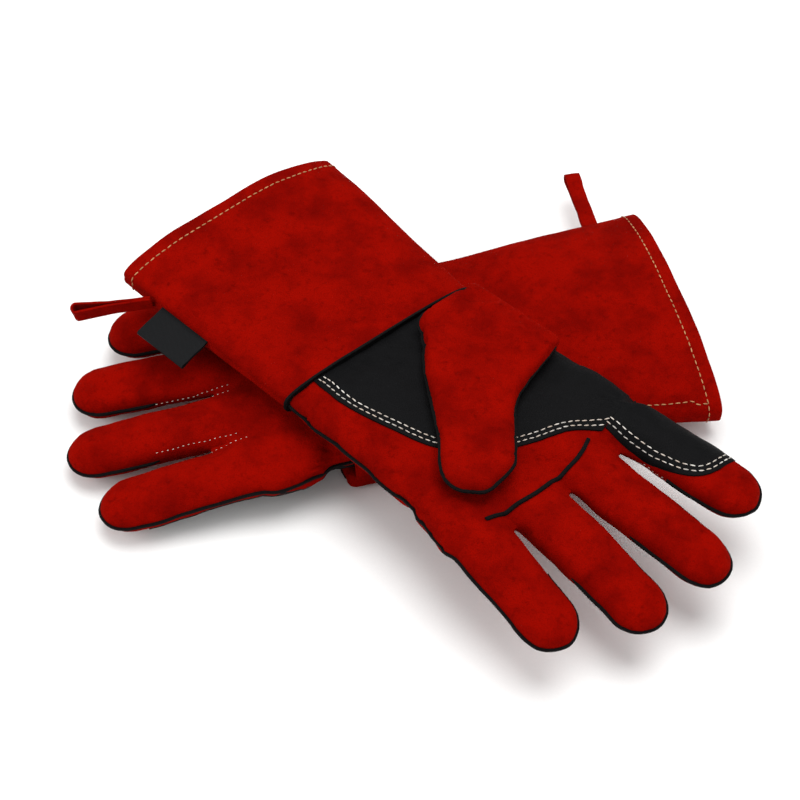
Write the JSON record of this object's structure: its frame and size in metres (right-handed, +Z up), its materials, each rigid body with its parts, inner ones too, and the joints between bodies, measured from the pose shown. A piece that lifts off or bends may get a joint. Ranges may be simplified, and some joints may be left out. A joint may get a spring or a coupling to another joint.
{
  "type": "pair of welding gloves",
  "caption": "Lined suede welding gauntlets lying crossed, one palm up and one palm down, with reinforced palms, hinged fingers and thumbs, and hanging loops.",
  "frame": {"origin": "middle of the pair's footprint, on the surface that it lies on", "axes": "+X across the pair, along its longest side; +Y from the open edge of the crossing towards the cuffs' far side; +Z up"},
  "size_m": [0.3728, 0.3562, 0.074],
  "materials": {
    "red_suede": "napped split leather",
    "black_grain_leather": "smooth grain",
    "welt_leather": "black strip with a grey raw edge",
    "gauntlet_twill": "cotton twill",
    "hand_fleece": "cotton fleece",
    "woven_label": "woven satin ribbon",
    "thread": "waxed aramid thread"
  },
  "bodies": {
    "right_index_finger": {"right_index_finger_back": "red_suede", "right_index_finger_front": "red_suede", "right_index_finger_welt": "welt_leather", "right_index_finger_patch": "black_grain_leather"},
    "right_middle_finger": {"right_middle_finger_back": "red_suede", "right_middle_finger_front": "red_suede", "right_middle_finger_welt": "welt_leather"},
    "right_ring_finger": {"right_ring_finger_back": "red_suede", "right_ring_finger_front": "red_suede", "right_ring_finger_welt": "welt_leather"},
    "right_little_finger": {"right_little_finger_back": "red_suede", "right_little_finger_front": "red_suede", "right_little_finger_welt": "welt_leather"},
    "right_thumb": {"right_thumb_outside": "red_suede", "right_thumb_inside": "red_suede", "right_thumb_welt": "welt_leather"},
    "right_hanging_loop": {"right_hanging_loop": "red_suede"},
    "right_glove": {"right_hand_back": "red_suede", "right_palm_panel": "red_suede", "right_palm_patch": "black_grain_leather", "right_hand_lining": "hand_fleece", "right_index_side_welt": "welt_leather", "right_little_side_welt": "welt_leather", "right_finger_base_welt": "welt_leather", "right_gauntlet_palm_panel": "red_suede", "right_gauntlet_back_panel": "red_suede", "right_gauntlet_lining": "gauntlet_twill", "right_cuff_hem": "red_suede", "right_wrist_welt": "welt_leather"},
    "left_index_finger": {"left_index_finger_back": "red_suede", "left_index_finger_front": "red_suede", "left_index_finger_welt": "welt_leather", "left_index_finger_patch": "black_grain_leather"},
    "left_middle_finger": {"left_middle_finger_back": "red_suede", "left_middle_finger_front": "red_suede", "left_middle_finger_welt": "welt_leather"},
    "left_ring_finger": {"left_ring_finger_back": "red_suede", "left_ring_finger_front": "red_suede", "left_ring_finger_welt": "welt_leather"},
    "left_little_finger": {"left_little_finger_back": "red_suede", "left_little_finger_front": "red_suede", "left_little_finger_welt": "welt_leather"},
    "left_thumb": {"left_thumb_outside": "red_suede", "left_thumb_inside": "red_suede", "left_thumb_welt": "welt_leather"},
    "left_hanging_loop": {"left_hanging_loop": "red_suede"},
    "left_label": {"left_label": "woven_label"},
    "left_glove": {"left_hand_back": "red_suede", "left_palm_panel": "red_suede", "left_palm_patch": "black_grain_leather", "left_hand_lining": "hand_fleece", "left_index_side_welt": "welt_leather", "left_little_side_welt": "welt_leather", "left_finger_base_welt": "welt_leather", "left_gauntlet_palm_panel": "red_suede", "left_gauntlet_back_panel": "red_suede", "left_gauntlet_lining": "gauntlet_twill", "left_cuff_hem": "red_suede", "left_wrist_welt": "welt_leather"}
  },
  "joints": [
    {"name": "left_glove_lift", "type": "slide", "parent": "right_glove", "child": "left_glove", "axis": [0, 0, 1], "range_m": [0, 0.2]},
    {"name": "right_index_finger_curl", "type": "hinge", "parent": "right_glove", "child": "right_index_finger", "pos_m": [-0.08345, -0.05563, 0.024], "axis": [0.2504, -0.9681, 0], "range_deg": [-8, 52]},
    {"name": "right_middle_finger_curl", "type": "hinge", "parent": "right_glove", "child": "right_middle_finger", "pos_m": [-0.09634, -0.02177, 0.024], "axis": [0.1994, -0.9799, 0], "range_deg": [-8, 52]},
    {"name": "right_ring_finger_curl", "type": "hinge", "parent": "right_glove", "child": "right_ring_finger", "pos_m": [-0.10245, 0.01383, 0.024], "axis": [0.1478, -0.989, 0], "range_deg": [-8, 52]},
    {"name": "right_little_finger_curl", "type": "hinge", "parent": "right_glove", "child": "right_little_finger", "pos_m": [-0.10468, 0.05044, 0.024], "axis": [0.0958, -0.9954, 0], "range_deg": [-9, 51]},
    {"name": "right_thumb_open", "type": "hinge", "parent": "right_glove", "child": "right_thumb", "pos_m": [0.00681, -0.04519, 0.0125], "axis": [-0.9681, -0.2504, 0], "range_deg": [0, 90]},
    {"name": "right_hanging_loop_swing", "type": "hinge", "parent": "right_glove", "child": "right_hanging_loop", "pos_m": [0.11259, 0.13412, 0.01837], "axis": [-0.9801, -0.1983, 0], "range_deg": [-20, 15]},
    {"name": "left_index_finger_curl", "type": "hinge", "parent": "left_glove", "child": "left_index_finger", "pos_m": [0.11626, -0.04363, 0.04489], "axis": [-0.6184, -0.7858, -0.0012], "range_deg": [0, 63]},
    {"name": "left_middle_finger_curl", "type": "hinge", "parent": "left_glove", "child": "left_middle_finger", "pos_m": [0.09607, -0.0737, 0.04475], "axis": [-0.6845, -0.729, 0.0018], "range_deg": [0, 65]},
    {"name": "left_ring_finger_curl", "type": "hinge", "parent": "left_glove", "child": "left_ring_finger", "pos_m": [0.07055, -0.09926, 0.04486], "axis": [-0.7337, -0.6795, 0.0043], "range_deg": [0, 67]},
    {"name": "left_little_finger_curl", "type": "hinge", "parent": "left_glove", "child": "left_little_finger", "pos_m": [0.04197, -0.12225, 0.0451], "axis": [-0.7792, -0.6267, 0.0067], "range_deg": [0, 69]},
    {"name": "left_thumb_open", "type": "hinge", "parent": "left_glove", "child": "left_thumb", "pos_m": [0.05593, 0.02372, 0.05953], "axis": [-0.7633, 0.6451, 0.0349], "range_deg": [0, 90]},
    {"name": "left_hanging_loop_swing", "type": "hinge", "parent": "left_glove", "child": "left_hanging_loop", "pos_m": [-0.14183, 0.03615, 0.05518], "axis": [-0.1386, -0.2017, 0.9696], "range_deg": [-20, 15]},
    {"name": "left_label_flap", "type": "hinge", "parent": "left_glove", "child": "left_label", "pos_m": [-0.12147, 0.01991, 0.05388], "axis": [0.7324, -0.68, -0.0349], "range_deg": [-20, 15]}
  ]
}
